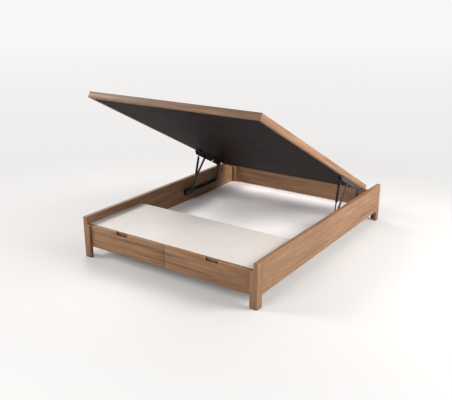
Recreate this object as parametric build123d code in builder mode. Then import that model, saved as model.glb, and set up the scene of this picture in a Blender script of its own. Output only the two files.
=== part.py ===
from build123d import *
import math
import os

os.makedirs("parts", exist_ok=True)

# Lift-up storage bed base, millimetres. X runs across the bed, +Y towards the head, +Z up,
# and the origin is on the floor under the middle of the base. The lid is modelled raised.

# Base frame
BASE_WIDTH = 1500.0
BASE_LENGTH = 1985.0
RAIL_TOP = 315.0
RAIL_BOTTOM = 89.0
RAIL_THICK = 32.0
HEAD_RAIL_THICK = 26.0
LEG_WIDE = 60.0
LEG_DEEP = 55.0
LEG_WALL = 22.0
GLIDE_HIGH = 5.0
GLIDE_INSET = 2.0
EDGE = 1.2
FIT = 0.3

# Drawer bay at the foot
BAY_TOP_LEVEL = 257.0
BAY_BOARD = 16.0
BAY_FRONT = -955.0
BAY_REAR = -396.0
BAY_BOTTOM = 92.0
RUNNER_THICK = 28.5
DRAWER_FACE = -980.0
DRAWER_FRONT_THICK = 19.0
DRAWER_FRONT_TOP = 255.0
NOTCH_CENTRE = 390.0
NOTCH_WIDE = 108.0
NOTCH_DEEP = 25.0
NOTCH_ROUND = 9.0
BOX_LOW = 105.0
BOX_HIGH = 212.0
BOX_BOARD = 12.0
BOX_DEEP = 500.0
SLIDE_GAP = 12.7
SLIDE_HIGH = 45.0
SLIDE_MID = 160.0
SLIDE_SHEET = 1.5
SLIDE_LONG = 490.0
SLIDE_STEP = 3.0
BOTTOM_THICK = 6.0
GROOVE = 5.0
FRONT_GAP = 1.5

# Storage floor
FLOOR_LEVEL = 110.0
FLOOR_THICK = 8.0
CLEAT_WIDE = 25.0
BEAM_WIDE = 60.0
BEAM_HIGH = 40.0
BEAM_FEET = (-60.0, 600.0)
BEAM_FOOT_R = 17.0
BEAM_FOOT_PLATE = 4.0
BLOCK_WIDE = 30.0
BLOCK_DEEP = 28.0
BATTEN_WIDE = 76.0
BATTEN_DEEP = 6.0

# Lid, raised and closed
LID_WIDE = 1400.0
LID_LONG = 1900.0
LID_THICK = 45.0
RIM_WIDE = 25.0
LID_ANGLE = 27.3
LID_REAR_Y = 778.0
LID_REAR_Z = 309.0
CLOSED_REAR_Y = 925.0
CLOSED_LEVEL = 257.4
UNDER_PANEL_THICK = 5.0
UNDER_PANEL_INSET = 3.0
DECK_THICK = 8.0

# Lift mechanism. Pivots on the lid are given as the distance from the lid's rear edge and the
# drop below its underside; pivots on the rail only by their height, because each is the one
# point of that height that is as far from its lid pivot raised as closed.
PIVOT_LEVEL = 200.0
REAR_PIVOT_ALONG = 147.0
REAR_PIVOT_DROP = 20.0
FRONT_PIVOT_ALONG = 368.0
FRONT_PIVOT_DROP = 16.0
GAS_TOP_ALONG = 496.0
GAS_TOP_DROP = 29.0
GAS_FOOT_Y = 236.0
GAS_FOOT_Z = 185.0
PLATE = 3.0
FLANGE_X = 692.0
CHANNEL_LOW = 187.0
CHANNEL_TOP = 213.0
CHANNEL_LIP = 194.0
CHANNEL_START = 158.0
CHANNEL_SCREW_IN = 20.0
FOOT_LOW = 172.0
FOOT_TOP = 218.0
FOOT_END = 262.0
CHANNEL_END_PAST = 38.0
UPPER_START = 95.0
UPPER_END = 530.0
UPPER_DROP = 34.0
UPPER_WIDE = 40.0
UPPER_SLOT = 236.0
UPPER_SLOT_WIDE = 12.0
UPPER_SLOT_DEEP = 20.0
ARM_THICK = 5.0
FRONT_ARM_WIDE = 23.0
REAR_ARM_WIDE = 30.0
ARM_GAP = 0.8
PIN_R = 5.0
PIN_FIT = 0.05
HEAD_R = 9.0
HEAD_SIDES = 14
HEAD_THICK = 2.6
NUT_R = 8.0
SCREW_R = 2.0
SCREW_HOLE_R = 2.4
SCREW_HEAD_R = 4.5
SCREW_HEAD = 2.2
SCREW_LONG = 18.0
SCREW_IN = 20.0

# Gas strut
GAS_X = 671.0
TUBE_R = 10.0
TUBE_BORE_R = 8.6
TUBE_LONG = 178.0
TUBE_END = 20.0
TUBE_CAP = 3.0
TUBE_NECK = 8.0
TUBE_STEM_R = 4.5
ROD_R = 5.0
ROD_FIT = 0.08
PISTON_R = 8.5
PISTON_LONG = 5.0
FERRULE_R = 7.0
FERRULE_END = 18.0
EYE_R = 9.0
EYE_THICK = 6.0
STUD_R = 4.0
STUD_HEAD_R = 6.5

# Worked out from the dimensions above
half_w = BASE_WIDTH / 2
half_l = BASE_LENGTH / 2
rail_in = half_w - RAIL_THICK
rail_end = half_l - LEG_DEEP
leg_in = half_w - LEG_WIDE
leg_back = half_l - LEG_WALL
head_in = leg_back - HEAD_RAIL_THICK
half_lid = LID_WIDE / 2
slope = math.radians(LID_ANGLE)
arm_x = FLANGE_X - ARM_GAP - ARM_THICK


def lid_point(along, rise):
    """Place of a lid point with the lid raised, as (y, z)."""
    y = LID_REAR_Y - along * math.cos(slope) + rise * math.sin(slope)
    z = LID_REAR_Z + along * math.sin(slope) + rise * math.cos(slope)
    return (y, z)


def closed_point(along, rise):
    """Place of the same lid point with the lid closed."""
    return (CLOSED_REAR_Y - along, CLOSED_LEVEL + rise)


def rail_pivot(along, rise, level):
    """The point at this level that is equally far from a lid pivot raised and closed."""
    y0, z0 = lid_point(along, rise)
    y1, z1 = closed_point(along, rise)
    step = (level - (z0 + z1) / 2) / (y1 - y0)
    return ((y0 + y1) / 2 - step * (z1 - z0), level)


def distance(a, b):
    return math.hypot(b[0] - a[0], b[1] - a[1])


def turn(pivot, start, end):
    """Angle in degrees that carries start to end round the pivot, about +X."""
    first = math.atan2(start[1] - pivot[1], start[0] - pivot[0])
    last = math.atan2(end[1] - pivot[1], end[0] - pivot[0])
    return math.degrees(last - first)


rear_top = lid_point(REAR_PIVOT_ALONG, -REAR_PIVOT_DROP)
front_top = lid_point(FRONT_PIVOT_ALONG, -FRONT_PIVOT_DROP)
rear_foot = rail_pivot(REAR_PIVOT_ALONG, -REAR_PIVOT_DROP, PIVOT_LEVEL)
front_foot = rail_pivot(FRONT_PIVOT_ALONG, -FRONT_PIVOT_DROP, PIVOT_LEVEL)
gas_foot = (GAS_FOOT_Y, GAS_FOOT_Z)
gas_top = lid_point(GAS_TOP_ALONG, -GAS_TOP_DROP)
gas_long = distance(gas_foot, gas_top)
gas_lean = math.atan2(gas_top[1] - gas_foot[1], gas_top[0] - gas_foot[0])

lid_plane = Plane(
    origin=(0, LID_REAR_Y, LID_REAR_Z),
    x_dir=(1, 0, 0),
    z_dir=(0, math.sin(slope), math.cos(slope)),
)


def lid_side(x):
    """Vertical plane through the lid at x: its x axis runs along the lid to the head."""
    return Plane(
        origin=(x, LID_REAR_Y, LID_REAR_Z),
        x_dir=(0, math.cos(slope), -math.sin(slope)),
        z_dir=(1, 0, 0),
    )


def save(piece, name):
    piece.part.label = name
    export_step(piece.part, f"parts/{name}.step")


def save_pair(piece, name):
    """Writes a right-hand piece and its mirror image for the left."""
    save(piece, f"{name}_right")
    with BuildPart() as other:
        mirror(piece.part, about=Plane.YZ)
    save(other, f"{name}_left")


def block(x, y, z):
    """A box between two x, two y and two z values, added to the open part."""
    with BuildSketch(Plane.XY.offset(z[0])) as outline:
        with Locations(((x[0] + x[1]) / 2, (y[0] + y[1]) / 2)):
            Rectangle(x[1] - x[0], y[1] - y[0])
    extrude(outline.sketch, amount=z[1] - z[0])


def disc(x, place, radius, thick):
    """A round standing on the plane at x and reaching thick along +X."""
    with BuildSketch(Plane.YZ.offset(x)) as outline:
        with Locations(place):
            Circle(radius)
    extrude(outline.sketch, amount=thick)


def lid_block(x, along, rise):
    """The same in the lid's own directions, with along measured from its rear edge."""
    with BuildSketch(lid_plane.offset(rise[0])) as outline:
        with Locations(((x[0] + x[1]) / 2, -(along[0] + along[1]) / 2)):
            Rectangle(x[1] - x[0], along[1] - along[0])
    extrude(outline.sketch, amount=rise[1] - rise[0])


# Corner legs: an angle of two boards, with rounded upright edges


def leg_corners(end, inset=0.0):
    """Angle section of a right-hand leg. end is -1 at the foot and 1 at the head."""
    outer = end * (half_l - inset)
    wall = end * (half_l - LEG_WALL + inset)
    deep = end * (half_l - LEG_DEEP + inset)
    return (
        (half_w - inset, outer),
        (leg_in + inset, outer),
        (leg_in + inset, wall),
        (half_w - LEG_WALL + inset, wall),
        (half_w - LEG_WALL + inset, deep),
        (half_w - inset, deep),
    )


def leg(end):
    with BuildPart() as piece:
        with BuildSketch(Plane.XY.offset(GLIDE_HIGH)):
            with BuildLine():
                Polyline(*leg_corners(end), close=True)
            make_face()
        extrude(amount=RAIL_TOP - GLIDE_HIGH)
        corner = piece.edges().filter_by(Axis.Z).sort_by(Axis.X)[-2:]
        chamfer(corner, EDGE)
        # The board across the bed ends level with the bay's top and the head rail.
        with BuildSketch(Plane.XY.offset(BAY_TOP_LEVEL)):
            with Locations(((leg_in + rail_in) / 2, end * half_l)):
                Rectangle(rail_in - leg_in, 4 * LEG_WALL)
        extrude(amount=RAIL_TOP, mode=Mode.SUBTRACT)
    return piece


save_pair(leg(-1), "front_leg")
save_pair(leg(1), "rear_leg")

with BuildPart() as foot_glides:
    for end in (-1, 1):
        with BuildSketch():
            with BuildLine():
                Polyline(*leg_corners(end, GLIDE_INSET), close=True)
            make_face()
        extrude(amount=GLIDE_HIGH)
    mirror(about=Plane.YZ)
save(foot_glides, "foot_glides")


# Rails


def lower_screw_places():
    """Where the lower brackets are screwed to the side rails, as (y, z)."""
    start = CHANNEL_START + CHANNEL_SCREW_IN
    end = rear_foot[0] + CHANNEL_END_PAST - CHANNEL_SCREW_IN
    level = (CHANNEL_LOW + CHANNEL_TOP) / 2 + PLATE
    return [(start + (end - start) * k / 3, level) for k in range(4)]


with BuildPart() as side_rail:
    block((rail_in, half_w), (-rail_end, rail_end), (RAIL_BOTTOM, RAIL_TOP))
    chamfer(side_rail.edges().filter_by(Axis.Y).group_by(Axis.X)[-1], EDGE)
    # A thinner tongue at each end laps inside the leg.
    block((rail_in, half_w - LEG_WALL), (-leg_back, leg_back), (RAIL_BOTTOM, RAIL_TOP))
    with BuildSketch(Plane.YZ.offset(rail_in)):
        with Locations(*lower_screw_places()):
            RegularPolygon(SCREW_HOLE_R, 6)
    extrude(amount=SCREW_LONG + 1, mode=Mode.SUBTRACT)
save_pair(side_rail, "side_rail")

with BuildPart() as head_rail:
    block((-rail_in, rail_in), (head_in, leg_back), (RAIL_BOTTOM, BAY_TOP_LEVEL))
    chamfer(head_rail.edges().filter_by(Axis.X), EDGE)
save(head_rail, "head_rail")

# Upright blocks in the head corners, each with a thin batten against the head rail. The
# closed lid rests on the blocks and on the bay's top.
with BuildPart() as corner_blocks:
    up = (FLOOR_LEVEL, BAY_TOP_LEVEL)
    block((rail_in - BLOCK_WIDE, rail_in), (head_in - BLOCK_DEEP, head_in), up)
    block((rail_in - BATTEN_WIDE, rail_in), (head_in - BATTEN_DEEP, head_in), up)
    mirror(about=Plane.YZ)
save(corner_blocks, "corner_blocks")


# Storage floor and what carries it

for name, low, high in (("left", -rail_in, -FIT), ("right", FIT, rail_in)):
    with BuildPart() as floor_panel:
        block((low, high), (BAY_REAR, head_in), (FLOOR_LEVEL - FLOOR_THICK, FLOOR_LEVEL))
    save(floor_panel, f"floor_panel_{name}")

floor_under = FLOOR_LEVEL - FLOOR_THICK
cleat_in = rail_in - CLEAT_WIDE
with BuildPart() as floor_cleats:
    for side in (-1, 1):
        ends = sorted((side * cleat_in, side * rail_in))
        block(ends, (BAY_REAR, head_in), (RAIL_BOTTOM, floor_under))
    across = (-cleat_in + 1, cleat_in - 1)
    block(across, (head_in - CLEAT_WIDE, head_in), (RAIL_BOTTOM, floor_under))
    block(across, (BAY_REAR, BAY_REAR + CLEAT_WIDE), (RAIL_BOTTOM, floor_under))
save(floor_cleats, "floor_cleats")

beam_ends = (BAY_REAR + CLEAT_WIDE + 1, head_in - CLEAT_WIDE - 1)
beam_low = floor_under - BEAM_HIGH
with BuildPart() as centre_beam:
    block((-BEAM_WIDE / 2, BEAM_WIDE / 2), beam_ends, (beam_low, floor_under))
    chamfer(centre_beam.edges().filter_by(Axis.Y).group_by(Axis.Z)[0], 2)
save(centre_beam, "centre_beam")

with BuildPart() as centre_feet:
    for y in BEAM_FEET:
        with BuildSketch():
            with Locations((0, y)):
                RegularPolygon(BEAM_FOOT_R, 24)
        extrude(amount=beam_low - BEAM_FOOT_PLATE)
        plate = (y - BEAM_WIDE / 2 + 3, y + BEAM_WIDE / 2 - 3)
        block((3 - BEAM_WIDE / 2, BEAM_WIDE / 2 - 3), plate, (beam_low - BEAM_FOOT_PLATE, beam_low))
save(centre_feet, "centre_feet")


# Drawer bay: top, back, centre partition and two runner boards

bay_under = BAY_TOP_LEVEL - BAY_BOARD
with BuildPart() as bay_top:
    block((-rail_in + FIT, rail_in - FIT), (BAY_FRONT, BAY_REAR), (bay_under, BAY_TOP_LEVEL))
    chamfer(bay_top.edges().filter_by(Axis.X).group_by(Axis.Z)[-1], 0.8)
save(bay_top, "bay_top")

with BuildPart() as bay_back:
    block((-rail_in, rail_in), (BAY_REAR - BAY_BOARD, BAY_REAR), (RAIL_BOTTOM, bay_under))
save(bay_back, "bay_back")

with BuildPart() as bay_partition:
    block((-BAY_BOARD / 2, BAY_BOARD / 2), (BAY_FRONT, BAY_REAR - BAY_BOARD), (BAY_BOTTOM, bay_under))
save(bay_partition, "bay_partition")

runner_in = rail_in - RUNNER_THICK
with BuildPart() as runner_board:
    block((runner_in, rail_in), (BAY_FRONT, BAY_REAR - BAY_BOARD), (BAY_BOTTOM, bay_under))
save_pair(runner_board, "runner_board")


# Drawers, made for the right-hand bay and mirrored

front_back = DRAWER_FACE + DRAWER_FRONT_THICK
box_out = runner_in - SLIDE_GAP
box_mid = BAY_BOARD / 2 + SLIDE_GAP
box_rear = front_back + BOX_DEEP
bottom_low = BOX_LOW + 6

with BuildPart() as drawer_front:
    block((FRONT_GAP, leg_in - FRONT_GAP), (DRAWER_FACE, front_back), (RAIL_BOTTOM, DRAWER_FRONT_TOP))
    # Finger notch: a cut-out in the top edge with rounded lower corners.
    with BuildSketch(Plane.XZ.offset(-DRAWER_FACE)) as notch:
        with BuildLine():
            low = DRAWER_FRONT_TOP - NOTCH_DEEP
            over = DRAWER_FRONT_TOP + 5
            start = NOTCH_CENTRE - NOTCH_WIDE / 2
            end = NOTCH_CENTRE + NOTCH_WIDE / 2
            FilletPolyline(
                (start, over), (start, low), (end, low), (end, over), radius=NOTCH_ROUND
            )
            Line((start, over), (end, over))
        make_face()
    extrude(amount=-DRAWER_FRONT_THICK, mode=Mode.SUBTRACT)
save_pair(drawer_front, "drawer_front")

with BuildPart() as drawer_sides:
    for x in ((box_mid, box_mid + BOX_BOARD), (box_out - BOX_BOARD, box_out)):
        block(x, (front_back, box_rear), (BOX_LOW, BOX_HIGH))
    # Groove for the bottom board, cut in both inner faces.
    with BuildSketch(Plane.XY.offset(bottom_low)):
        with Locations(((box_mid + box_out) / 2, (front_back + box_rear) / 2)):
            Rectangle(box_out - box_mid - 2 * (BOX_BOARD - GROOVE), BOX_DEEP)
    extrude(amount=BOTTOM_THICK, mode=Mode.SUBTRACT)
save_pair(drawer_sides, "drawer_sides")

inner_mid = box_mid + BOX_BOARD
inner_out = box_out - BOX_BOARD
with BuildPart() as drawer_back:
    block((inner_mid, inner_out), (box_rear - BOX_BOARD, box_rear), (bottom_low + BOTTOM_THICK, BOX_HIGH))
save_pair(drawer_back, "drawer_back")

with BuildPart() as drawer_bottom:
    block((inner_mid - GROOVE, inner_out + GROOVE), (front_back, box_rear), (bottom_low, bottom_low + BOTTOM_THICK))
save_pair(drawer_bottom, "drawer_bottom")


# Drawer slides: three nested channels on each side of a drawer

def slide_channel(wall, inward, high, deep):
    """A channel whose web stands on x = wall and whose lips point along inward."""
    run = (BAY_FRONT + 1, BAY_FRONT + 1 + SLIDE_LONG)
    low = SLIDE_MID - high / 2
    top = SLIDE_MID + high / 2
    web = sorted((wall, wall + inward * SLIDE_SHEET))
    lips = sorted((wall, wall + inward * deep))
    block(web, run, (low, top))
    block(lips, run, (low, low + SLIDE_SHEET))
    block(lips, run, (top - SLIDE_SHEET, top))


with BuildPart() as slide_outer:
    slide_channel(runner_in, -1, SLIDE_HIGH, 9)
    slide_channel(BAY_BOARD / 2, 1, SLIDE_HIGH, 9)
save_pair(slide_outer, "slide_outer")

with BuildPart() as slide_middle:
    slide_channel(runner_in - SLIDE_STEP, -1, SLIDE_HIGH - 2 * SLIDE_STEP, 7.5)
    slide_channel(BAY_BOARD / 2 + SLIDE_STEP, 1, SLIDE_HIGH - 2 * SLIDE_STEP, 7.5)
save_pair(slide_middle, "slide_middle")

with BuildPart() as slide_inner:
    slide_channel(box_out, 1, SLIDE_HIGH - 4 * SLIDE_STEP, 7)
    slide_channel(box_mid, -1, SLIDE_HIGH - 4 * SLIDE_STEP, 7)
save_pair(slide_inner, "slide_inner")


# Lid: mitred rim, dark underside board, cross battens and deck


def upper_screw_places():
    """Where the upper brackets are screwed to the lid's rim, in the lid's plane."""
    start = UPPER_START + 30
    end = UPPER_END - 24
    return [(half_lid - SCREW_IN, -start - (end - start) * k / 3) for k in range(4)]


with BuildPart() as lid_rim_side:
    with BuildSketch(lid_plane):
        with BuildLine():
            Polyline(
                (half_lid, 0),
                (half_lid, -LID_LONG),
                (half_lid - RIM_WIDE, -LID_LONG + RIM_WIDE),
                (half_lid - RIM_WIDE, -RIM_WIDE),
                close=True,
            )
        make_face()
    extrude(amount=LID_THICK)
    with BuildSketch(lid_plane):
        with Locations(*upper_screw_places()):
            RegularPolygon(SCREW_HOLE_R, 6)
    extrude(amount=SCREW_LONG, mode=Mode.SUBTRACT)
save_pair(lid_rim_side, "lid_rim")

for name, along, inward in (("rear", 0.0, 1), ("front", LID_LONG, -1)):
    with BuildPart() as lid_rim_end:
        with BuildSketch(lid_plane):
            with BuildLine():
                inner = along + inward * RIM_WIDE
                Polyline(
                    (half_lid, -along),
                    (-half_lid, -along),
                    (RIM_WIDE - half_lid, -inner),
                    (half_lid - RIM_WIDE, -inner),
                    close=True,
                )
            make_face()
        extrude(amount=LID_THICK)
    save(lid_rim_end, f"lid_rim_{name}")

lid_in = half_lid - RIM_WIDE - FIT
lid_run = (RIM_WIDE + FIT, LID_LONG - RIM_WIDE - FIT)
under_top = UNDER_PANEL_INSET + UNDER_PANEL_THICK
deck_low = LID_THICK - 1 - DECK_THICK
with BuildPart() as lid_underside:
    lid_block((-lid_in, lid_in), lid_run, (UNDER_PANEL_INSET, under_top))
save(lid_underside, "lid_underside")

with BuildPart() as lid_battens:
    for k in range(5):
        middle = LID_LONG * (k + 1) / 6
        lid_block((-lid_in, lid_in), (middle - 30, middle + 30), (under_top, deck_low))
save(lid_battens, "lid_battens")

with BuildPart() as lid_deck:
    lid_block((-lid_in, lid_in), lid_run, (deck_low, LID_THICK - 1))
save(lid_deck, "lid_deck")


# Lower bracket: a narrow pressed channel screwed inside the side rail, deeper at the foot end
# where the front arm and the gas strut stand

channel_end = rear_foot[0] + CHANNEL_END_PAST
slant = CHANNEL_LOW - FOOT_LOW


def channel_bottom(rise):
    """Underside of the channel from head to foot, as (y, z), raised by this much."""
    return [
        (channel_end, CHANNEL_LOW + rise),
        (FOOT_END + slant, CHANNEL_LOW + rise),
        (FOOT_END, FOOT_LOW + rise),
        (CHANNEL_START, FOOT_LOW + rise),
    ]


def channel_sheet(x, thick, top):
    """A sheet of the channel between its underside and the points of its top edge."""
    with BuildSketch(Plane.YZ.offset(x)) as outline:
        with BuildLine():
            Polyline(*channel_bottom(0), *top, close=True)
        make_face()
        if x < rail_in - PLATE:
            with Locations(front_foot, rear_foot):
                Circle(PIN_R + PIN_FIT, mode=Mode.SUBTRACT)
            with Locations(gas_foot):
                Circle(STUD_R + PIN_FIT, mode=Mode.SUBTRACT)
        else:
            with Locations(*lower_screw_places()):
                RegularPolygon(SCREW_HOLE_R, 6, mode=Mode.SUBTRACT)
    extrude(outline.sketch, amount=thick)


with BuildPart() as lower_bracket:
    back_top = [
        (CHANNEL_START, CHANNEL_TOP),
        (CHANNEL_START + 6, FOOT_TOP),
        (FOOT_END, FOOT_TOP),
        (FOOT_END + slant, CHANNEL_TOP),
        (channel_end, CHANNEL_TOP),
    ]
    channel_sheet(rail_in - PLATE, PLATE, back_top)
    # Between the pivots the inner flange is cut down to a low lip.
    flange_top = [
        (CHANNEL_START, CHANNEL_TOP),
        (CHANNEL_START + 6, FOOT_TOP),
        (FOOT_END - 10, FOOT_TOP),
        (FOOT_END + slant, CHANNEL_LIP),
        (rear_foot[0] - REAR_ARM_WIDE, CHANNEL_LIP),
        (rear_foot[0] - REAR_ARM_WIDE / 2, CHANNEL_TOP),
        (channel_end, CHANNEL_TOP),
    ]
    channel_sheet(FLANGE_X, PLATE, flange_top)
    with BuildSketch(Plane.YZ.offset(FLANGE_X)):
        with BuildLine():
            Polyline(*channel_bottom(0), *reversed(channel_bottom(PLATE)), close=True)
        make_face()
    extrude(amount=rail_in - FLANGE_X)
save_pair(lower_bracket, "lower_bracket")


def round_head(x, place, radius):
    """A pin's head standing on the plane at x."""
    with BuildSketch(Plane.YZ.offset(x)) as outline:
        with Locations(place):
            RegularPolygon(radius, HEAD_SIDES)
    extrude(outline.sketch, amount=HEAD_THICK)


def nut(x, place):
    """A hexagon nut standing on the plane at x."""
    with BuildSketch(Plane.YZ.offset(x)) as outline:
        with Locations(place):
            RegularPolygon(NUT_R, 6)
    extrude(outline.sketch, amount=HEAD_THICK)


def pin(place, x_from, x_to):
    """A pivot pin along X, with a round head inside and a nut outside."""
    disc(x_from, place, PIN_R, x_to - x_from)
    round_head(x_from - HEAD_THICK, place, HEAD_R)
    nut(x_to, place)


pin_from = arm_x - FIT
pin_to = FLANGE_X + PLATE + 0.1
with BuildPart() as rail_pins:
    pin(front_foot, pin_from, pin_to)
    pin(rear_foot, pin_from, pin_to)
    mirror(about=Plane.YZ)
save(rail_pins, "rail_pins")

with BuildPart() as gas_studs:
    eye_in = GAS_X - EYE_THICK / 2 - FIT
    disc(eye_in, gas_foot, STUD_R, pin_to - eye_in)
    round_head(eye_in - HEAD_THICK, gas_foot, STUD_HEAD_R)
    round_head(GAS_X + EYE_THICK / 2 + FIT, gas_foot, STUD_HEAD_R)
    round_head(pin_to, gas_foot, STUD_R + 1)
    mirror(about=Plane.YZ)
save(gas_studs, "gas_studs")


with BuildPart() as lower_screws:
    with BuildSketch(Plane.YZ.offset(rail_in - PLATE - SCREW_HEAD)):
        with Locations(*lower_screw_places()):
            RegularPolygon(SCREW_HEAD_R, 10)
    extrude(amount=SCREW_HEAD)
    with BuildSketch(Plane.YZ.offset(rail_in - PLATE)):
        with Locations(*lower_screw_places()):
            RegularPolygon(SCREW_R, 6)
    extrude(amount=SCREW_LONG)
    mirror(about=Plane.YZ)
save(lower_screws, "lower_bracket_screws")


# Arms: flat bars with round ends


def arm(start, end, wide, holes):
    """A flat bar of this width from start to end, drilled at the given points."""
    long = distance(start, end)
    lean = math.degrees(math.atan2(end[1] - start[1], end[0] - start[0]))
    middle = ((start[0] + end[0]) / 2, (start[1] + end[1]) / 2)
    with BuildSketch(Plane.YZ.offset(arm_x)) as outline:
        with Locations(Location((middle[0], middle[1], 0), (0, 0, lean))):
            SlotCenterToCenter(long, wide)
        with Locations(*holes):
            Circle(PIN_R + 2 * PIN_FIT, mode=Mode.SUBTRACT)
    extrude(outline.sketch, amount=ARM_THICK)


with BuildPart() as front_arm:
    arm(front_foot, front_top, FRONT_ARM_WIDE, (front_foot,))
    # Rivet head at the top, on the arm itself: this end stands beside the lid's flange.
    round_head(arm_x - HEAD_THICK, front_top, HEAD_R)
save_pair(front_arm, "front_arm")

with BuildPart() as rear_arm:
    arm(rear_foot, rear_top, REAR_ARM_WIDE, (rear_foot, rear_top))
save_pair(rear_arm, "rear_arm")


# Upper bracket: an angle screwed under the lid, with a tab for the gas strut

BOSS_LONG = 6.4
BOSS_R = 4.5
BOSS_GAP = 0.6
TAB_X = GAS_X - EYE_THICK / 2 - BOSS_GAP - BOSS_LONG - PLATE
rear_local = (-REAR_PIVOT_ALONG, -REAR_PIVOT_DROP)
gas_local = (-GAS_TOP_ALONG, -GAS_TOP_DROP)

with BuildPart() as upper_bracket:
    with BuildSketch(lid_side(FLANGE_X)):
        with BuildLine():
            Polyline(
                (-UPPER_START, 0),
                (-UPPER_START, -UPPER_DROP + 12),
                (-UPPER_START - 12, -UPPER_DROP),
                (-UPPER_END + 26, -UPPER_DROP),
                (-UPPER_END, -UPPER_DROP + 22),
                (-UPPER_END, 0),
                close=True,
            )
        make_face()
        # Slot that parts the flange between the two pivots.
        with Locations((-UPPER_SLOT, -UPPER_DROP)):
            Rectangle(UPPER_SLOT_WIDE, 2 * UPPER_SLOT_DEEP, mode=Mode.SUBTRACT)
        with Locations(rear_local):
            Circle(PIN_R + PIN_FIT, mode=Mode.SUBTRACT)
    extrude(amount=PLATE)
    with BuildSketch(lid_plane.offset(-PLATE)):
        with Locations((FLANGE_X + PLATE - UPPER_WIDE / 2, -(UPPER_START + UPPER_END) / 2)):
            Rectangle(UPPER_WIDE, UPPER_END - UPPER_START)
        with Locations(*upper_screw_places()):
            RegularPolygon(SCREW_HOLE_R, 6, mode=Mode.SUBTRACT)
    extrude(amount=PLATE)
    with BuildSketch(lid_side(TAB_X)):
        with BuildLine():
            top = -PLATE / 2
            Polyline(
                (-GAS_TOP_ALONG + 18, top),
                (-GAS_TOP_ALONG + 11, gas_local[1]),
                (-GAS_TOP_ALONG + 6, gas_local[1] - 10),
                (-GAS_TOP_ALONG - 6, gas_local[1] - 10),
                (-GAS_TOP_ALONG - 11, gas_local[1]),
                (-GAS_TOP_ALONG - 18, top),
                close=True,
            )
        make_face()
    extrude(amount=PLATE)
    # Boss that the strut's eye swings beside.
    with BuildSketch(lid_side(TAB_X + PLATE)):
        with Locations(gas_local):
            RegularPolygon(BOSS_R, HEAD_SIDES)
    extrude(amount=BOSS_LONG)
save_pair(upper_bracket, "upper_bracket")

with BuildPart() as lid_pins:
    pin(rear_top, pin_from, pin_to)
    # Nut of the front arm's upper pivot, outside the flange.
    nut(pin_to, front_top)
    mirror(about=Plane.YZ)
save(lid_pins, "lid_pins")

with BuildPart() as upper_screws:
    with BuildSketch(lid_plane.offset(-PLATE - SCREW_HEAD)):
        with Locations(*upper_screw_places()):
            RegularPolygon(SCREW_HEAD_R, 10)
    extrude(amount=SCREW_HEAD)
    with BuildSketch(lid_plane.offset(-PLATE)):
        with Locations(*upper_screw_places()):
            RegularPolygon(SCREW_R, 6)
    extrude(amount=SCREW_LONG)
    mirror(about=Plane.YZ)
save(upper_screws, "upper_bracket_screws")


# Gas strut: rod and piston below, tube above, turned round the line between their ends

gas_plane = Plane(
    origin=(GAS_X, *gas_foot),
    x_dir=(0, math.cos(gas_lean), math.sin(gas_lean)),
    z_dir=(1, 0, 0),
)
gas_axis = Axis(
    origin=(GAS_X, *gas_foot),
    direction=(0, math.cos(gas_lean), math.sin(gas_lean)),
)
mouth = gas_long - TUBE_LONG
piston_low = mouth + TUBE_NECK + 1

with BuildPart() as gas_rod:
    with BuildSketch(gas_plane):
        with BuildLine():
            Polyline(
                (EYE_R - 1, 0),
                (EYE_R - 1, FERRULE_R),
                (FERRULE_END, FERRULE_R),
                (FERRULE_END, ROD_R),
                (piston_low, ROD_R),
                (piston_low, PISTON_R),
                (piston_low + PISTON_LONG, PISTON_R),
                (piston_low + PISTON_LONG, 0),
                close=True,
            )
        make_face()
    revolve(axis=gas_axis)
    # Eye that turns on the stud.
    disc(GAS_X - EYE_THICK / 2, gas_foot, EYE_R, EYE_THICK)
    with BuildSketch(Plane.YZ.offset(GAS_X - EYE_R)):
        with Locations(gas_foot):
            Circle(STUD_R + PIN_FIT)
    extrude(amount=2 * EYE_R, mode=Mode.SUBTRACT)
    # The ferrule is flattened where it meets the eye.
    for x in (GAS_X + EYE_THICK / 2, GAS_X - EYE_THICK / 2 - EYE_R):
        with BuildSketch(Plane.YZ.offset(x)):
            with Locations(gas_foot):
                Circle(EYE_R + 2)
        extrude(amount=EYE_R, mode=Mode.SUBTRACT)
save_pair(gas_rod, "gas_rod")

with BuildPart() as gas_tube:
    with BuildSketch(gas_plane):
        with BuildLine():
            shoulder = gas_long - TUBE_END
            Polyline(
                (mouth, ROD_R + ROD_FIT),
                (mouth, TUBE_R - 2),
                (mouth + 3, TUBE_R),
                (shoulder - 3, TUBE_R),
                (shoulder, TUBE_STEM_R),
                (gas_long - EYE_R + 1, TUBE_STEM_R),
                (gas_long - EYE_R + 1, 0),
                (shoulder - TUBE_CAP, 0),
                (shoulder - TUBE_CAP, TUBE_BORE_R),
                (mouth + TUBE_NECK, TUBE_BORE_R),
                (mouth + TUBE_NECK, ROD_R + ROD_FIT),
                close=True,
            )
        make_face()
    revolve(axis=gas_axis)
    # Eye at the top, beside the boss on the lid's bracket.
    disc(GAS_X - EYE_THICK / 2, gas_top, EYE_R, EYE_THICK)
    round_head(GAS_X + EYE_THICK / 2, gas_top, STUD_HEAD_R)
save_pair(gas_tube, "gas_tube")


# Pivots and travels for the record

front_turn = turn(front_foot, front_top, closed_point(FRONT_PIVOT_ALONG, -FRONT_PIVOT_DROP))
rear_turn = turn(rear_foot, rear_top, closed_point(REAR_PIVOT_ALONG, -REAR_PIVOT_DROP))
gas_closed = closed_point(GAS_TOP_ALONG, -GAS_TOP_DROP)
print("front foot", front_foot, "front top", front_top, "turn", front_turn)
print("rear foot", rear_foot, "rear top", rear_top, "turn", rear_turn)
print("lid turn about the rear top", LID_ANGLE - rear_turn)
print("gas foot", gas_foot, "top", gas_top, "turn", turn(gas_foot, gas_top, gas_closed))
print("gas travel", distance(gas_foot, gas_closed) - gas_long, "length", gas_long)
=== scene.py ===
import math

import bpy
from mathutils import Matrix, Vector


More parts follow.
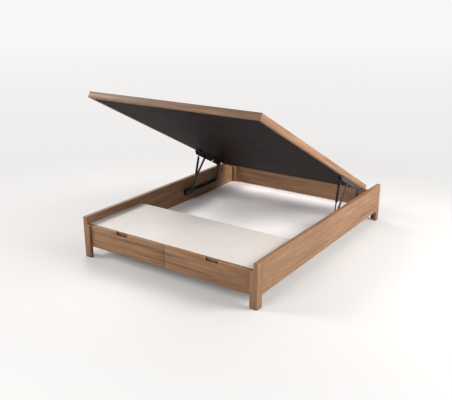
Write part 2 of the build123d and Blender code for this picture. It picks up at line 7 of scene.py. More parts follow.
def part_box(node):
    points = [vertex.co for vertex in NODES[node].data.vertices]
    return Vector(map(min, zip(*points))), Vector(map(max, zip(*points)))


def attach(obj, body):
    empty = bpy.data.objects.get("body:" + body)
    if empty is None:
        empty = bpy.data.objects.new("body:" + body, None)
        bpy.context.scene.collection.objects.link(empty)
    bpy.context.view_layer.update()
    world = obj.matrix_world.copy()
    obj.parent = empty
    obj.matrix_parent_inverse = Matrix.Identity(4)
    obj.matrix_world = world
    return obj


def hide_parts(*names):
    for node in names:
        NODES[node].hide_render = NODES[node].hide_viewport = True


bl_info = {
    "name": "Lift-up Bed Base",
    "version": (1, 0, 0),
    "blender": (4, 5, 0),
    "location": "View3D > Sidebar > Bed Base",
    "description": "Dresses a storage bed base: boards, lid, lift mechanism and drawers",
    "category": "Object",
}

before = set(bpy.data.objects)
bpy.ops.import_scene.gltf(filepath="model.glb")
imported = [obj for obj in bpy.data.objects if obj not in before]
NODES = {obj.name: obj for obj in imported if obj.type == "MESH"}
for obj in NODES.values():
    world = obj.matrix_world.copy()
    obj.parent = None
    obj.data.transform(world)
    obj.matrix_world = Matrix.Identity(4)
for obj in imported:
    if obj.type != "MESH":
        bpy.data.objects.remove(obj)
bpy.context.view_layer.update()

# What two coordinates in metres may differ by and still count as the same place.
NEAR = 0.0001
WELD = 0.00005

# Woodgrain noises: scale per metre, and how far each is drawn out along the grain.
BROAD_SCALE, BROAD_STRETCH = 44.0, 22.0
VEIN_SCALE, VEIN_STRETCH = 30.0, 30.0
STREAK_SCALE, STREAK_STRETCH = 120.0, 26.0
PORE_SCALE, PORE_STRETCH = 520.0, 34.0
# A stretch that draws a noise out in no direction.
EVEN = (1.0, 1.0, 1.0)
SOFTWOOD_SHADE = 1.45
SOFTWOOD_CONTRAST = 0.6

# Coated boards: roughness, and the scale and depth of the fine orange-peel surface.
BOARD_ROUGH = 0.58
PEEL_SCALE, PEEL_DEPTH = 260.0, 0.0001
# Coats on steel: scale and depth of their texture.
COAT_SCALE, COAT_DEPTH = 900.0, 0.00008

# Brightness of the rim's boards: the end board's face turns away from the light.
RIM_SHADE = {"x": 0.76, "y": 1.04}
# Painted shade on the side rails: each rail's woodgrain is darkened to stand in for the light on the
# face seen, the left rail's shaded inner face more than the right rail's outer face.
RAIL_PAINTED_SHADE = {"left": 0.92, "right": 0.97}

DRAWER_BOARD = (0.72, 0.69, 0.64)
DECK_BOARD = (0.46, 0.43, 0.385)
GLIDE_PLASTIC = (0.03, 0.024, 0.02)
FOOT_PLASTIC = (0.03, 0.03, 0.03)
SLIDE_ZINC = (0.62, 0.63, 0.65)
SCREW_ZINC = (0.45, 0.45, 0.46)
PIN_ZINC = (0.12, 0.12, 0.125)
ROD_BLACK = (0.03, 0.03, 0.033)
TUBE_BLACK = (0.012, 0.012, 0.014)

# Wood-coloured strip on the bay top's front edge, seen through the finger notches.
EDGING_THICK = 0.001
EDGING_DEEP = 0.026
EDGING_BELOW = 0.0009
EDGING_ROUND = 0.0003
PANEL_ROUND = 0.0008
RAIL_ROUND = 0.0012
NOTCH_ROUND = 0.009
# How far the block that cuts a notch stands past the front.
CUT_SPARE = 0.01

FLOOR_WIDE = 120.0
FLOOR_PAINT = (0.605, 0.590, 0.578)
PAPER = (0.93, 0.93, 0.925)
AMBIENT = (1.0, 0.995, 0.985)
AMBIENT_STRENGTH = 0.05
# Distances from the camera, in metres, over which the paper's painted brightness changes.
FALLOFF_NEAR, FALLOFF_FAR = 2.5, 25.0
# Painted light on the paper: its glow is brightest near the camera, darkest in the middle distance
# and lighter again far off, standing in for how the light falls across it.
PAPER_PAINTED_FALLOFF = (
    (0.0, (1.0, 0.995, 0.99)),
    (0.09, (0.90, 0.885, 0.875)),
    (0.20, (0.855, 0.84, 0.83)),
    (0.32, (0.87, 0.858, 0.85)),
    (0.9, (0.945, 0.935, 0.93)),
)
# Share of plain paper in the floor, beside the bed and far off, by distance from the bed.
SHARE_NEAR, SHARE_FAR = 0.12, 1.0
FADE_NEAR, FADE_FAR = 1.2, 3.4

# Area lamps: name, place, target, size in metres, power in watts, colour.
WHITE = (1.0, 1.0, 1.0)
LAMPS = (
    ("key low", (4.2, 0.6, 2.4), (0.0, 0.2, 0.2), (2.6, 2.6), 165.0, (1.0, 0.985, 0.965)),
    ("key high", (4.3, 1.0, 3.1), (0.0, 0.2, 0.2), (2.0, 2.0), 165.0, WHITE),
    ("front left", (-4.4, -3.0, 3.2), (0.0, -0.3, 0.15), (2.0, 1.6), 225.0, WHITE),
    ("front", (-0.4, -5.2, 3.6), (0.0, -0.3, 0.15), (2.0, 1.6), 132.0, WHITE),
    ("top", (0.3, 0.2, 5.2), (0.0, 0.0, 0.1), (2.4, 2.4), 60.0, WHITE),
    ("back right", (1.2, 3.4, 4.4), (0.0, 0.3, 0.1), (2.4, 2.0), 30.0, WHITE),
    ("back left", (-3.6, 2.2, 3.6), (0.0, 0.3, 0.1), (2.4, 2.0), 125.0, WHITE),
)

# Camera fitted to the photograph, with its tilt and turn in degrees.
SENSOR_MM = 36.0
LENS_MM = 50.83
CAMERA_PLACE = (2.58416, -4.02143, 1.92079)
CAMERA_GROUND = (2.58, -4.02, 0.0)
CAMERA_DOWN = 18.654
CAMERA_TURN = 34.332
VIEW_FAR = 200.0


def low(node):
    return Vector(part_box(node)[0])


def high(node):
    return Vector(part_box(node)[1])


HALF_W = high("side_rail_right").x
RAIL_IN = low("side_rail_right").x
RAIL_TOP = high("side_rail_right").z
LEG_IN = low("front_leg_right").x
HEAD_Y = high("rear_leg_right").y
LEG_DEEP_Y = high("front_leg_right").y
BAY_TOP_Z = high("bay_top").z


class BedBaseSizes(bpy.types.PropertyGroup):
    """Sizes that a user would change, in metres"""

    lid_angle: bpy.props.FloatProperty(
        name="Lid angle", description="Tilt of the raised lid", default=math.radians(27.3),
        subtype="ANGLE",
    )
    lid_rear_y: bpy.props.FloatProperty(
        name="Lid rear edge Y", description="Place of the raised lid's lower rear edge",
        default=0.778, unit="LENGTH",
    )
    lid_rear_z: bpy.props.FloatProperty(
        name="Lid rear edge Z", description="Height of the raised lid's lower rear edge",
        default=0.309, unit="LENGTH",
    )
    lid_wide: bpy.props.FloatProperty(
        name="Lid width", description="Outer width of the lid", default=1.4, unit="LENGTH",
    )
    lid_long: bpy.props.FloatProperty(
        name="Lid length", description="Outer length of the lid", default=1.9, unit="LENGTH",
    )
    lid_thick: bpy.props.FloatProperty(
        name="Lid rim height", description="Height of the lid's rim", default=0.045, unit="LENGTH",
    )
    rim_wide: bpy.props.FloatProperty(
        name="Lid rim width", description="Thickness of the rim boards", default=0.025,
        unit="LENGTH",
    )
    leg_wall: bpy.props.FloatProperty(
        name="Leg board", description="Thickness of a leg's two boards", default=0.022,
        unit="LENGTH",
    )
    board_round: bpy.props.FloatProperty(
        name="Board edge radius", description="Softening of the boards' edges", default=0.0016,
        unit="LENGTH",
    )
    notch_centre: bpy.props.FloatProperty(
        name="Notch centre", description="Distance of a finger notch from the middle",
        default=0.39, unit="LENGTH",
    )
    notch_wide: bpy.props.FloatProperty(
        name="Notch width", description="Width of a finger notch", default=0.108, unit="LENGTH",
    )
    notch_deep: bpy.props.FloatProperty(
        name="Notch depth", description="Depth of a finger notch", default=0.025, unit="LENGTH",
    )


class BedBaseColours(bpy.types.PropertyGroup):
    """Colours that a user would change"""

    wood_light: bpy.props.FloatVectorProperty(
        name="Wood, light", description="Light streaks of the woodgrain", subtype="COLOR",
        size=3, default=(0.345, 0.187, 0.097),
    )
    wood_dark: bpy.props.FloatVectorProperty(
        name="Wood, dark", description="Dark streaks of the woodgrain", subtype="COLOR",
        size=3, default=(0.20, 0.104, 0.052),
    )
    panel_cream: bpy.props.FloatVectorProperty(
        name="Bay top", description="Coated top of the drawer bay", subtype="COLOR",
        size=3, default=(0.622, 0.580, 0.544),
    )
    floor_white: bpy.props.FloatVectorProperty(
        name="Storage floor", description="Coated floor of the storage box", subtype="COLOR",
        size=3, default=(0.88, 0.835, 0.83),
    )
    underside: bpy.props.FloatVectorProperty(
        name="Lid underside", description="Dark board under the lid", subtype="COLOR",
        size=3, default=(0.0120, 0.0055, 0.0068),
    )
    mechanism: bpy.props.FloatVectorProperty(
        name="Mechanism", description="Powder coat of the lift mechanism", subtype="COLOR",
        size=3, default=(0.018, 0.018, 0.02),
    )


def sizes():
    return bpy.context.scene.bed_base_sizes


def colours():
    return bpy.context.scene.bed_base_colours


# Materials


def new_material(name):
    """The named material; its nodes are given only when it still has to be made."""
    material = bpy.data.materials.get(name)
    if material:
        return material, None, None, None
    material = bpy.data.materials.new(name)
    material.use_nodes = True
    tree = material.node_tree
    shader = tree.nodes["Principled BSDF"]
    return material, tree.nodes, tree.links, shader


def grain_noise(nodes, links, place, scale, detail, rough, stretch):
    """Noise drawn out along the grain, from the board's own coordinates."""
    mapping = nodes.new("ShaderNodeMapping")
    mapping.inputs["Scale"].default_value = stretch
    links.new(place, mapping.inputs["Vector"])
    noise = nodes.new("ShaderNodeTexNoise")
    noise.inputs["Scale"].default_value = scale
    noise.inputs["Detail"].default_value = detail
    noise.inputs["Roughness"].default_value = rough
    links.new(mapping.outputs["Vector"], noise.inputs["Vector"])
    return noise


def ramp(nodes, links, value, stops):
    """Colours by value, from (position, colour) stops."""
    node = nodes.new("ShaderNodeValToRGB")
    elements = node.color_ramp.elements
    while len(elements) < len(stops):
        elements.new(0.5)
    for element, (position, colour) in zip(elements, stops):
        element.position = position
        element.color = (*colour, 1.0)
    links.new(value, node.inputs["Fac"])
    return node


def multiply(nodes, links, first, second, factor):
    """One colour darkened by another."""
    mix = nodes.new("ShaderNodeMix")
    mix.data_type = "RGBA"
    mix.blend_type = "MULTIPLY"
    mix.inputs["Factor"].default_value = factor
    links.new(first, mix.inputs["A"])
    links.new(second, mix.inputs["B"])
    return mix.outputs["Result"]


def uneven_gloss(nodes, links, shader, value, dull, shiny):
    """Roughness that runs from dull to shiny as the value rises."""
    gloss = nodes.new("ShaderNodeMapRange")
    gloss.inputs["To Min"].default_value = dull
    gloss.inputs["To Max"].default_value = shiny
    links.new(value, gloss.inputs["Value"])
    links.new(gloss.outputs["Result"], shader.inputs["Roughness"])


def relief(nodes, links, shader, height, strength, distance):
    """Fine bumps in the surface."""
    bump = nodes.new("ShaderNodeBump")
    bump.inputs["Strength"].default_value = strength
    bump.inputs["Distance"].default_value = distance
    links.new(height, bump.inputs["Height"])
    links.new(bump.outputs["Normal"], shader.inputs["Normal"])


def woodgrain(name, grain="x", tilted=False, shade=1.0, shift=(0.0, 0.0, 0.0), contrast=1.0):
    """Brown woodgrain laminate: broad streaks, dark veins, fine lines and pores along the grain."""
    material, nodes, links, shader = new_material(name)
    if nodes is None:
        return material
    look = colours()
    shader.inputs["Specular IOR Level"].default_value = 0.35
    coordinates = nodes.new("ShaderNodeTexCoord")
    place = nodes.new("ShaderNodeMapping")
    place.inputs["Location"].default_value = shift
    if tilted:
        place.inputs["Rotation"].default_value = (sizes().lid_angle, 0.0, 0.0)
    links.new(coordinates.outputs["Object"], place.inputs["Vector"])
    along = {"x": 0, "y": 1, "z": 2}[grain]

    def stretch(much):
        scale = [1.0, 1.0, 1.0]
        scale[along] = 1.0 / much
        return scale

    where = place.outputs["Vector"]
    broad = grain_noise(nodes, links, where, BROAD_SCALE, 4.0, 0.62, stretch(BROAD_STRETCH))
    vein = grain_noise(nodes, links, where, VEIN_SCALE, 2.0, 0.45, stretch(VEIN_STRETCH))
    streak = grain_noise(nodes, links, where, STREAK_SCALE, 5.0, 0.7, stretch(STREAK_STRETCH))
    pore = grain_noise(nodes, links, where, PORE_SCALE, 2.0, 0.5, stretch(PORE_STRETCH))
    light = [c * shade for c in look.wood_light]
    dark = [c * shade for c in look.wood_dark]
    mid = [(a + b) / 2 for a, b in zip(light, dark)]
    spread = 0.2 / contrast
    base = ramp(nodes, links, broad.outputs["Fac"],
                [(0.5 - spread, dark), (0.5, mid), (0.5 + spread, light)])
    veins = ramp(nodes, links, vein.outputs["Fac"],
                 [(0.28, (0.74, 0.70, 0.67)), (0.36, WHITE)])
    lines = ramp(nodes, links, streak.outputs["Fac"],
                 [(0.36, (0.76, 0.73, 0.71)), (0.5, WHITE), (0.66, (1.14, 1.13, 1.12))])
    pores = ramp(nodes, links, pore.outputs["Fac"],
                 [(0.36, (0.78, 0.76, 0.74)), (0.43, WHITE)])
    colour = multiply(nodes, links, base.outputs["Color"], veins.outputs["Color"], 1.0)
    colour = multiply(nodes, links, colour, lines.outputs["Color"], 0.8)
    colour = multiply(nodes, links, colour, pores.outputs["Color"], 0.7)
    links.new(colour, shader.inputs["Base Color"])
    uneven_gloss(nodes, links, shader, streak.outputs["Fac"], 0.58, 0.44)
    relief(nodes, links, shader, pore.outputs["Fac"], 0.25, 0.0004)
    return material


def coated_board(name, colour, spread=0.03):
    """Melamine-faced board: one pale colour, faint mottling and a fine orange-peel surface."""
    material, nodes, links, shader = new_material(name)
    if nodes is None:
        return material
    shader.inputs["Specular IOR Level"].default_value = 0.25
    coordinates = nodes.new("ShaderNodeTexCoord")
    where = coordinates.outputs["Object"]
    cloud = grain_noise(nodes, links, where, 6.0, 4.0, 0.6, EVEN)
    fine = grain_noise(nodes, links, where, PEEL_SCALE, 2.0, 0.5, EVEN)
    down = [c * (1 - spread) for c in colour]
    up = [min(1.0, c * (1 + spread)) for c in colour]
    tone = ramp(nodes, links, cloud.outputs["Fac"], [(0.35, down), (0.65, up)])
    links.new(tone.outputs["Color"], shader.inputs["Base Color"])
    uneven_gloss(
        nodes, links, shader, cloud.outputs["Fac"], BOARD_ROUGH + 0.06, BOARD_ROUGH - 0.04
    )
    relief(nodes, links, shader, fine.outputs["Fac"], 0.3, PEEL_DEPTH)
    return material


def dark_board(name):
    """Near-black board under the lid, with faint streaks along the bed."""
    material, nodes, links, shader = new_material(name)
    if nodes is None:
        return material
    colour = colours().underside
    shader.inputs["Specular IOR Level"].default_value = 0.05
    shader.inputs["Specular Tint"].default_value = (1.0, 0.8, 0.8, 1.0)
    coordinates = nodes.new("ShaderNodeTexCoord")
    place = nodes.new("ShaderNodeMapping")
    place.inputs["Rotation"].default_value = (sizes().lid_angle, 0.0, 0.0)
    links.new(coordinates.outputs["Object"], place.inputs["Vector"])
    where = place.outputs["Vector"]
    streak = grain_noise(nodes, links, where, 30.0, 5.0, 0.6, (0.06, 1.0, 1.0))
    fine = grain_noise(nodes, links, where, 420.0, 2.0, 0.5, (0.12, 1.0, 1.0))
    tone = ramp(nodes, links, streak.outputs["Fac"], [
        (0.30, [c * 0.72 for c in colour]), (0.52, list(colour)), (0.72, [c * 1.55 for c in colour]),
    ])
    links.new(tone.outputs["Color"], shader.inputs["Base Color"])
    uneven_gloss(nodes, links, shader, streak.outputs["Fac"], 0.66, 0.5)
    relief(nodes, links, shader, fine.outputs["Fac"], 0.3, 0.0002)
    return material


def coated_steel(name, colour, rough, metal=0.0):
    """Painted or plated steel: a fine texture in the coat and uneven gloss."""
    material, nodes, links, shader = new_material(name)
    if nodes is None:
        return material
    shader.inputs["Metallic"].default_value = metal
    coordinates = nodes.new("ShaderNodeTexCoord")
    where = coordinates.outputs["Object"]
    cloud = grain_noise(nodes, links, where, 35.0, 3.0, 0.6, EVEN)
    fine = grain_noise(nodes, links, where, COAT_SCALE, 2.0, 0.5, EVEN)
    tone = ramp(nodes, links, cloud.outputs["Fac"],
                [(0.3, [c * 0.85 for c in colour]), (0.7, [min(1.0, c * 1.18) for c in colour])])
    links.new(tone.outputs["Color"], shader.inputs["Base Color"])
    uneven_gloss(nodes, links, shader, cloud.outputs["Fac"], rough + 0.08, rough - 0.06)
    relief(nodes, links, shader, fine.outputs["Fac"], 0.3, COAT_DEPTH)
    return material


def paint(piece, material):
    """Gives the piece, or a carried-over node, this one material."""
    if isinstance(piece, str):
        piece = NODES[piece]
    if not piece.material_slots:
        piece.data.materials.append(material)
    for slot in piece.material_slots:
        slot.material = material


# Modelling


def deselect():
    bpy.ops.object.select_all(action="DESELECT")


def take(piece):
    deselect()
    piece.select_set(True)
    bpy.context.view_layer.objects.active = piece


def settle(piece):
    """Puts the piece's place into its mesh, with its object at the origin."""
    take(piece)
    bpy.ops.object.transform_apply(location=True, rotation=True, scale=True)


def tilt_with_lid(piece):
    """Carries a piece made in the lid's flat frame to the raised lid."""
    size = sizes()
    lift = Matrix.Translation((0.0, size.lid_rear_y, size.lid_rear_z))
    piece.matrix_world = lift @ Matrix.Rotation(-size.lid_angle, 4, "X")
    settle(piece)


def soften(piece, width=None, segments=2):
    """Rounds the piece's sharp edges by a small bevel."""
    take(piece)
    bevel = piece.modifiers.new("Edge", "BEVEL")
    bevel.width = width or sizes().board_round
    bevel.segments = segments
    bevel.limit_method = "ANGLE"
    bevel.angle_limit = math.radians(30)
    bpy.ops.object.modifier_apply(modifier=bevel.name)
    bpy.ops.object.shade_smooth_by_angle(angle=math.radians(35))


def cube(name, start, end):
    """A block between two corners, as a mesh whose object is at the origin."""
    deselect()
    start, end = Vector(start), Vector(end)
    bpy.ops.mesh.primitive_cube_add(size=1.0, location=(start + end) / 2)
    piece = bpy.context.object
    piece.name = name
    piece.scale = [abs(v) for v in (end - start)]
    settle(piece)
    return piece


def finish(piece, body, slot, material, *nodes):
    """Paints the piece and puts it on its body, in place of the nodes it dresses."""
    paint(piece, material)
    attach(piece, body)
    if nodes:
        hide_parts(*nodes)


def pick(piece, test, kind="FACE"):
    """Selects, in edit mode, the faces, edges or vertices that pass the test."""
    bpy.ops.mesh.select_mode(type=kind)
    bpy.ops.mesh.select_all(action="DESELECT")
    bpy.ops.object.mode_set(mode="OBJECT")
    mesh = piece.data
    if kind == "FACE":
        for face in mesh.polygons:
            face.select = test(face.center)
    elif kind == "EDGE":
        for edge in mesh.edges:
            edge.select = test(*(mesh.vertices[i].co for i in edge.vertices))
    else:
        for vertex in mesh.vertices:
            vertex.select = test(vertex.co)
    bpy.ops.object.mode_set(mode="EDIT")


class BEDBASE_OT_legs(bpy.types.Operator):
    """Corner legs: an angle of two boards with upright grain, and the glides under them"""

    bl_idname = "bedbase.legs"
    bl_label = "Corner legs"

    def leg(self, node, side, end):
        size = sizes()
        wall = size.leg_wall
        base = low(node).z
        outer_x, inner_x = side * HALF_W, side * LEG_IN
        outer_y = end * HEAD_Y
        wall_y = end * (HEAD_Y - wall)
        deep_y = end * abs(LEG_DEEP_Y)
        deselect()
        bpy.ops.mesh.primitive_plane_add(
            size=1.0, location=((outer_x + inner_x) / 2, (outer_y + wall_y) / 2, base)
        )
        piece = bpy.context.object
        piece.name = f"dressed_{node}"
        piece.scale = (HALF_W - LEG_IN, wall, 1.0)
        settle(piece)
        bpy.ops.object.mode_set(mode="EDIT")
        for cut in (side * (HALF_W - wall), side * RAIL_IN):
            bpy.ops.mesh.select_all(action="SELECT")
            bpy.ops.mesh.bisect(plane_co=(cut, 0, 0), plane_no=(1, 0, 0))
        edge_x = HALF_W - wall - NEAR
        pick(piece, lambda v: abs(v.x) > edge_x and abs(v.y - wall_y) < NEAR, "VERT")
        bpy.ops.mesh.select_mode(type="EDGE")
        bpy.ops.mesh.extrude_region_move(
            TRANSFORM_OT_translate={"value": (0.0, deep_y - wall_y, 0.0)}
        )
        bpy.ops.mesh.select_mode(type="FACE")
        bpy.ops.mesh.select_all(action="SELECT")
        bpy.ops.mesh.extrude_region_move(
            TRANSFORM_OT_translate={"value": (0.0, 0.0, BAY_TOP_Z - base)}
        )
        pick(piece, lambda c: abs(c.z - BAY_TOP_Z) < NEAR and abs(c.x) > RAIL_IN)
        bpy.ops.mesh.extrude_region_move(
            TRANSFORM_OT_translate={"value": (0.0, 0.0, RAIL_TOP - BAY_TOP_Z)}
        )
        bpy.ops.mesh.select_all(action="SELECT")
        bpy.ops.mesh.remove_doubles(threshold=WELD)
        bpy.ops.mesh.normals_make_consistent(inside=False)
        bpy.ops.mesh.dissolve_limited(angle_limit=math.radians(2))
        bpy.ops.object.mode_set(mode="OBJECT")
        soften(piece, segments=3)
        return piece

    def execute(self, context):
        wood = woodgrain("Upright woodgrain", "z", shift=(0.31, 0.12, 0.0))
        for name, side, end in (
            ("front_leg_left", -1, -1), ("front_leg_right", 1, -1),
            ("rear_leg_left", -1, 1), ("rear_leg_right", 1, 1),
        ):
            finish(self.leg(name, side, end), "base", "leg_wood", wood, name)
        paint("foot_glides", coated_steel("Glide plastic", GLIDE_PLASTIC, rough=0.55))
        return {"FINISHED"}


class BEDBASE_OT_rails(bpy.types.Operator):
    """Side rails, head rail and the blocks in the head corners"""

    bl_idname = "bedbase.rails"
    bl_label = "Rails"

    def execute(self, context):
        # Each side rail gets its own copy of the woodgrain, darkened by painted shade.
        for side, shade in RAIL_PAINTED_SHADE.items():
            wood = woodgrain(
                f"Side rail woodgrain {side}", "y", shade=shade, shift=(0.0, 0.0, 0.4)
            )
            paint(f"side_rail_{side}", wood)
        head = cube("dressed_head_rail", low("head_rail"), high("head_rail"))
        soften(head, RAIL_ROUND)
        wood = woodgrain("Head rail woodgrain", "x", shift=(0.2, 0.0, 0.15))
        finish(head, "base", "rail_wood", wood, "head_rail")
        paint("corner_blocks", woodgrain("Corner block woodgrain", "z", shade=0.9))
        return {"FINISHED"}


class BEDBASE_OT_storage_floor(bpy.types.Operator):
    """White storage floor and what carries it"""

    bl_idname = "bedbase.storage_floor"
    bl_label = "Storage floor"

    def execute(self, context):
        white = coated_board("Storage floor white", colours().floor_white)
        for side in ("left", "right"):
            paint(f"floor_panel_{side}", white)
        pine = woodgrain(
            "Planed softwood", "y", shade=SOFTWOOD_SHADE, contrast=SOFTWOOD_CONTRAST
        )
        for name in ("floor_cleats", "centre_beam"):
            paint(name, pine)
        paint("centre_feet", coated_steel("Foot plastic", FOOT_PLASTIC, rough=0.5))
        return {"FINISHED"}


class BEDBASE_OT_drawer_bay(bpy.types.Operator):
    """Cream top over the drawers, and the boards round them"""

    bl_idname = "bedbase.drawer_bay"
    bl_label = "Drawer bay"

    def execute(self, context):
        cream = coated_board("Bay top cream", colours().panel_cream, spread=0.02)
        top = cube("dressed_bay_top", low("bay_top"), high("bay_top"))
        soften(top, PANEL_ROUND)
        finish(top, "base", "cream_board", cream, "bay_top")
        for name in ("bay_back", "bay_partition", "runner_board_left", "runner_board_right"):
            paint(name, cream)
        # Wood-coloured edging glued along the board's front edge.
        start, end = low("bay_top"), high("bay_top")
        strip = cube(
            "bay_edging",
            (start.x, start.y - EDGING_THICK, end.z - EDGING_DEEP),
            (end.x, start.y, end.z - EDGING_BELOW),
        )
        soften(strip, EDGING_ROUND)
        wood = woodgrain("Edging woodgrain", "x", shift=(0.4, 0.1, 0.0), shade=0.95)
        finish(strip, "base", "rail_wood", wood)
        return {"FINISHED"}


class BEDBASE_OT_drawer_fronts(bpy.types.Operator):
    """Drawer fronts with a finger notch in the top edge"""

    bl_idname = "bedbase.drawer_fronts"
    bl_label = "Drawer fronts"

    def execute(self, context):
        size = sizes()
        wood = woodgrain("Drawer front woodgrain", "x", shift=(0.0, 0.3, 0.05))
        for side, sign in (("left", -1), ("right", 1)):
            node = f"drawer_front_{side}"
            start, end = low(node), high(node)
            front = cube(f"dressed_{node}", start, end)
            centre = sign * size.notch_centre
            half = size.notch_wide / 2
            bottom = end.z - size.notch_deep
            cutter = cube(
                f"notch_cutter_{side}",
                (centre - half, start.y - CUT_SPARE, bottom),
                (centre + half, end.y + CUT_SPARE, end.z + 2 * CUT_SPARE),
            )
            bpy.ops.object.mode_set(mode="EDIT")
            pick(
                cutter,
                lambda a, b: max(a.z, b.z) < bottom + NEAR and abs(a.x - b.x) < NEAR,
                "EDGE",
            )
            bpy.ops.mesh.bevel(offset=NOTCH_ROUND, segments=6)
            bpy.ops.object.mode_set(mode="OBJECT")
            take(front)
            cut = front.modifiers.new("Notch", "BOOLEAN")
            cut.operation = "DIFFERENCE"
            cut.solver = "EXACT"
            cut.object = cutter
            bpy.ops.object.modifier_apply(modifier=cut.name)
            bpy.data.objects.remove(cutter, do_unlink=True)
            soften(front, RAIL_ROUND)
            finish(front, f"drawer_{side}", "rail_wood", wood, node)
        return {"FINISHED"}


class BEDBASE_OT_drawer_boxes(bpy.types.Operator):
    """Drawer boxes and their telescopic slides"""

    bl_idname = "bedbase.drawer_boxes"
    bl_label = "Drawer boxes"

    def execute(self, context):
        board = coated_board("Drawer board", DRAWER_BOARD)
        steel = coated_steel("Slide zinc", SLIDE_ZINC, rough=0.32, metal=1.0)
        for side in ("left", "right"):
            for part in ("sides", "back", "bottom"):
                paint(f"drawer_{part}_{side}", board)
            for part in ("outer", "middle", "inner"):
                paint(f"slide_{part}_{side}", steel)
        return {"FINISHED"}


class BEDBASE_OT_lid_rim(bpy.types.Operator):
    """Lid rim: four boards mitred at the corners"""

    bl_idname = "bedbase.lid_rim"
    bl_label = "Lid rim"

    def execute(self, context):
        size = sizes()
        half, rim, thick, length = size.lid_wide / 2, size.rim_wide, size.lid_thick, size.lid_long
        boards = (
            ("left", (-half, -length, 0.0), (-half + rim, 0.0, thick), "y"),
            ("right", (half - rim, -length, 0.0), (half, 0.0, thick), "y"),
            ("front", (-half, -length, 0.0), (half, -length + rim, thick), "x"),
            ("rear", (-half, -rim, 0.0), (half, 0.0, thick), "x"),
        )
        middle = -length / 2
        for name, start, end, grain in boards:
            board = cube(f"dressed_lid_rim_{name}", start, end)
            for vertex in board.data.vertices:
                spot = vertex.co
                inner_x = abs(spot.x) < half - rim / 2
                inner_y = abs(spot.y - middle) < length / 2 - rim / 2
                if grain == "y" and inner_x:
                    spot.y += rim if spot.y < middle else -rim
                if grain == "x" and inner_y:
                    spot.x += rim if spot.x < 0 else -rim
            soften(board)
            tilt_with_lid(board)
            wood = woodgrain(
                f"Lid rim woodgrain {grain}", grain, tilted=True, shade=RIM_SHADE[grain],
                shift=(0.0, 0.0, 0.2),
            )
            finish(board, "lid", "rim_wood", wood, f"lid_rim_{name}")
        return {"FINISHED"}


class BEDBASE_OT_lid_boards(bpy.types.Operator):
    """Dark underside board, cross battens and the deck that carries the mattress"""

    bl_idname = "bedbase.lid_boards"
    bl_label = "Lid boards"

    def execute(self, context):
        paint("lid_underside", dark_board("Lid underside dark"))
        paint("lid_deck", coated_board("Lid deck board", DECK_BOARD, spread=0.02))
        pine = woodgrain(
            "Batten softwood", "x", tilted=True, shade=SOFTWOOD_SHADE, contrast=SOFTWOOD_CONTRAST
        )
        paint("lid_battens", pine)
        return {"FINISHED"}


class BEDBASE_OT_mechanism(bpy.types.Operator):
    """Brackets, arms, gas struts, pins and screws of the lift mechanism"""

    bl_idname = "bedbase.mechanism"
    bl_label = "Lift mechanism"

    def execute(self, context):
        black = coated_steel("Mechanism powder coat", colours().mechanism, rough=0.42)
        dark = coated_steel("Pin black zinc", PIN_ZINC, rough=0.35, metal=1.0)
        bright = coated_steel("Screw zinc", SCREW_ZINC, rough=0.3, metal=1.0)
        rod = coated_steel("Rod black", ROD_BLACK, rough=0.22)
        tube = coated_steel("Tube black gloss", TUBE_BLACK, rough=0.26)
        for side in ("left", "right"):
            for part in ("lower_bracket", "upper_bracket", "front_arm", "rear_arm"):
                paint(f"{part}_{side}", black)
            paint(f"gas_rod_{side}", rod)
            paint(f"gas_tube_{side}", tube)
        for name in ("rail_pins", "lid_pins", "gas_studs"):
            paint(name, dark)
        for name in ("lower_bracket_screws", "upper_bracket_screws"):
            paint(name, bright)
        return {"FINISHED"}


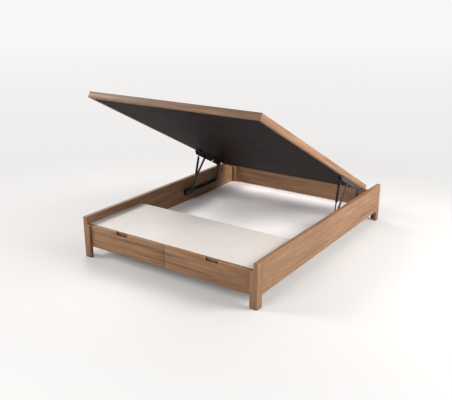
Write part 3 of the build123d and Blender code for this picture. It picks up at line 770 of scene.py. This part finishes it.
class BEDBASE_OT_stage(bpy.types.Operator):
    """Pale floor, soft studio light and the photograph's camera"""

    bl_idname = "bedbase.stage"
    bl_label = "Stage"

    def distance_from(self, nodes, links, where, place):
        """Distance of the shaded floor point from a place, in metres."""
        apart = nodes.new("ShaderNodeVectorMath")
        apart.operation = "DISTANCE"
        apart.inputs[1].default_value = place
        links.new(where, apart.inputs[0])
        return apart.outputs["Value"]

    def backdrop_material(self):
        """Pale floor that takes the shadows near the bed and fades to plain paper far off."""
        material = bpy.data.materials.new("Studio floor")
        material.use_nodes = True
        nodes, links = material.node_tree.nodes, material.node_tree.links
        shader = nodes["Principled BSDF"]
        shader.inputs["Base Color"].default_value = (*FLOOR_PAINT, 1.0)
        shader.inputs["Roughness"].default_value = 0.6
        shader.inputs["Specular IOR Level"].default_value = 0.08
        where = nodes.new("ShaderNodeTexCoord").outputs["Object"]
        near = self.distance_from(nodes, links, where, CAMERA_GROUND)
        along = nodes.new("ShaderNodeMapRange")
        along.inputs["From Min"].default_value = FALLOFF_NEAR
        along.inputs["From Max"].default_value = FALLOFF_FAR
        links.new(near, along.inputs["Value"])
        # Painted light: the paper's glow is graded by distance from the camera.
        tone = ramp(nodes, links, along.outputs["Result"], PAPER_PAINTED_FALLOFF)
        glow = nodes.new("ShaderNodeEmission")
        links.new(tone.outputs["Color"], glow.inputs["Color"])
        glow.inputs["Strength"].default_value = 1.0
        away = self.distance_from(nodes, links, where, (0.0, 0.0, 0.0))
        fade = nodes.new("ShaderNodeMapRange")
        fade.interpolation_type = "SMOOTHSTEP"
        fade.inputs["From Min"].default_value = FADE_NEAR
        fade.inputs["From Max"].default_value = FADE_FAR
        fade.inputs["To Min"].default_value = SHARE_NEAR
        fade.inputs["To Max"].default_value = SHARE_FAR
        links.new(away, fade.inputs["Value"])
        rays = nodes.new("ShaderNodeLightPath")
        share = nodes.new("ShaderNodeMath")
        share.operation = "MULTIPLY"
        links.new(rays.outputs["Is Camera Ray"], share.inputs[0])
        links.new(fade.outputs["Result"], share.inputs[1])
        mix = nodes.new("ShaderNodeMixShader")
        links.new(share.outputs[0], mix.inputs["Fac"])
        links.new(shader.outputs["BSDF"], mix.inputs[1])
        links.new(glow.outputs["Emission"], mix.inputs[2])
        links.new(mix.outputs["Shader"], nodes["Material Output"].inputs["Surface"])
        return material

    def lamp(self, name, place, target, size, power, colour):
        """A rectangular area lamp that looks at the target."""
        light = bpy.data.lights.new(name, "AREA")
        light.shape = "RECTANGLE"
        light.size, light.size_y = size
        light.energy = power
        light.color = colour
        lamp = bpy.data.objects.new(name, light)
        bpy.context.collection.objects.link(lamp)
        lamp.location = place
        lamp.rotation_euler = (Vector(target) - Vector(place)).to_track_quat("-Z", "Y").to_euler()

    def execute(self, context):
        scene = context.scene
        scene.view_settings.view_transform = "Standard"
        deselect()
        bpy.ops.mesh.primitive_plane_add(size=FLOOR_WIDE, location=(0.0, 0.0, 0.0))
        floor = context.object
        floor.name = "studio_floor"
        paint(floor, self.backdrop_material())
        world = bpy.data.worlds.new("Studio")
        scene.world = world
        world.use_nodes = True
        nodes, links = world.node_tree.nodes, world.node_tree.links
        ambient = nodes["Background"]
        ambient.inputs["Color"].default_value = (*AMBIENT, 1.0)
        ambient.inputs["Strength"].default_value = AMBIENT_STRENGTH
        seen = nodes.new("ShaderNodeBackground")
        seen.inputs["Color"].default_value = (*PAPER, 1.0)
        seen.inputs["Strength"].default_value = 1.0
        rays = nodes.new("ShaderNodeLightPath")
        mix = nodes.new("ShaderNodeMixShader")
        links.new(rays.outputs["Is Camera Ray"], mix.inputs["Fac"])
        links.new(ambient.outputs["Background"], mix.inputs[1])
        links.new(seen.outputs["Background"], mix.inputs[2])
        links.new(mix.outputs["Shader"], nodes["World Output"].inputs["Surface"])
        for lamp in LAMPS:
            self.lamp(*lamp)
        camera_data = bpy.data.cameras.new("photo_camera")
        camera_data.sensor_fit = "HORIZONTAL"
        camera_data.sensor_width = SENSOR_MM
        camera_data.lens = LENS_MM
        camera_data.clip_end = VIEW_FAR
        camera = bpy.data.objects.new("photo_camera", camera_data)
        context.collection.objects.link(camera)
        camera.location = CAMERA_PLACE
        camera.rotation_euler = (math.radians(90.0 - CAMERA_DOWN), 0.0, math.radians(CAMERA_TURN))
        scene.camera = camera
        return {"FINISHED"}


OPERATORS = (
    BEDBASE_OT_stage,
    BEDBASE_OT_legs,
    BEDBASE_OT_rails,
    BEDBASE_OT_storage_floor,
    BEDBASE_OT_drawer_bay,
    BEDBASE_OT_drawer_fronts,
    BEDBASE_OT_drawer_boxes,
    BEDBASE_OT_lid_rim,
    BEDBASE_OT_lid_boards,
    BEDBASE_OT_mechanism,
)


class BEDBASE_PT_panel(bpy.types.Panel):
    """Lists the pieces of the bed base in the order they are made"""

    bl_idname = "BEDBASE_PT_panel"
    bl_label = "Bed Base"
    bl_space_type = "VIEW_3D"
    bl_region_type = "UI"
    bl_category = "Bed Base"

    def draw(self, context):
        column = self.layout.column()
        for group in (context.scene.bed_base_sizes, context.scene.bed_base_colours):
            for name in group.__annotations__:
                column.prop(group, name)
        for operator in OPERATORS:
            column.operator(operator.bl_idname)


CLASSES = (BedBaseSizes, BedBaseColours, *OPERATORS, BEDBASE_PT_panel)


def register():
    for cls in CLASSES:
        bpy.utils.register_class(cls)
    bpy.types.Scene.bed_base_sizes = bpy.props.PointerProperty(type=BedBaseSizes)
    bpy.types.Scene.bed_base_colours = bpy.props.PointerProperty(type=BedBaseColours)


def unregister():
    del bpy.types.Scene.bed_base_colours
    del bpy.types.Scene.bed_base_sizes
    for cls in reversed(CLASSES):
        bpy.utils.unregister_class(cls)


def main():
    register()
    bpy.ops.bedbase.stage()
    bpy.ops.bedbase.legs()
    bpy.ops.bedbase.rails()
    bpy.ops.bedbase.storage_floor()
    bpy.ops.bedbase.drawer_bay()
    bpy.ops.bedbase.drawer_fronts()
    bpy.ops.bedbase.drawer_boxes()
    bpy.ops.bedbase.lid_rim()
    bpy.ops.bedbase.lid_boards()
    bpy.ops.bedbase.mechanism()


if __name__ == "__main__":
    main()
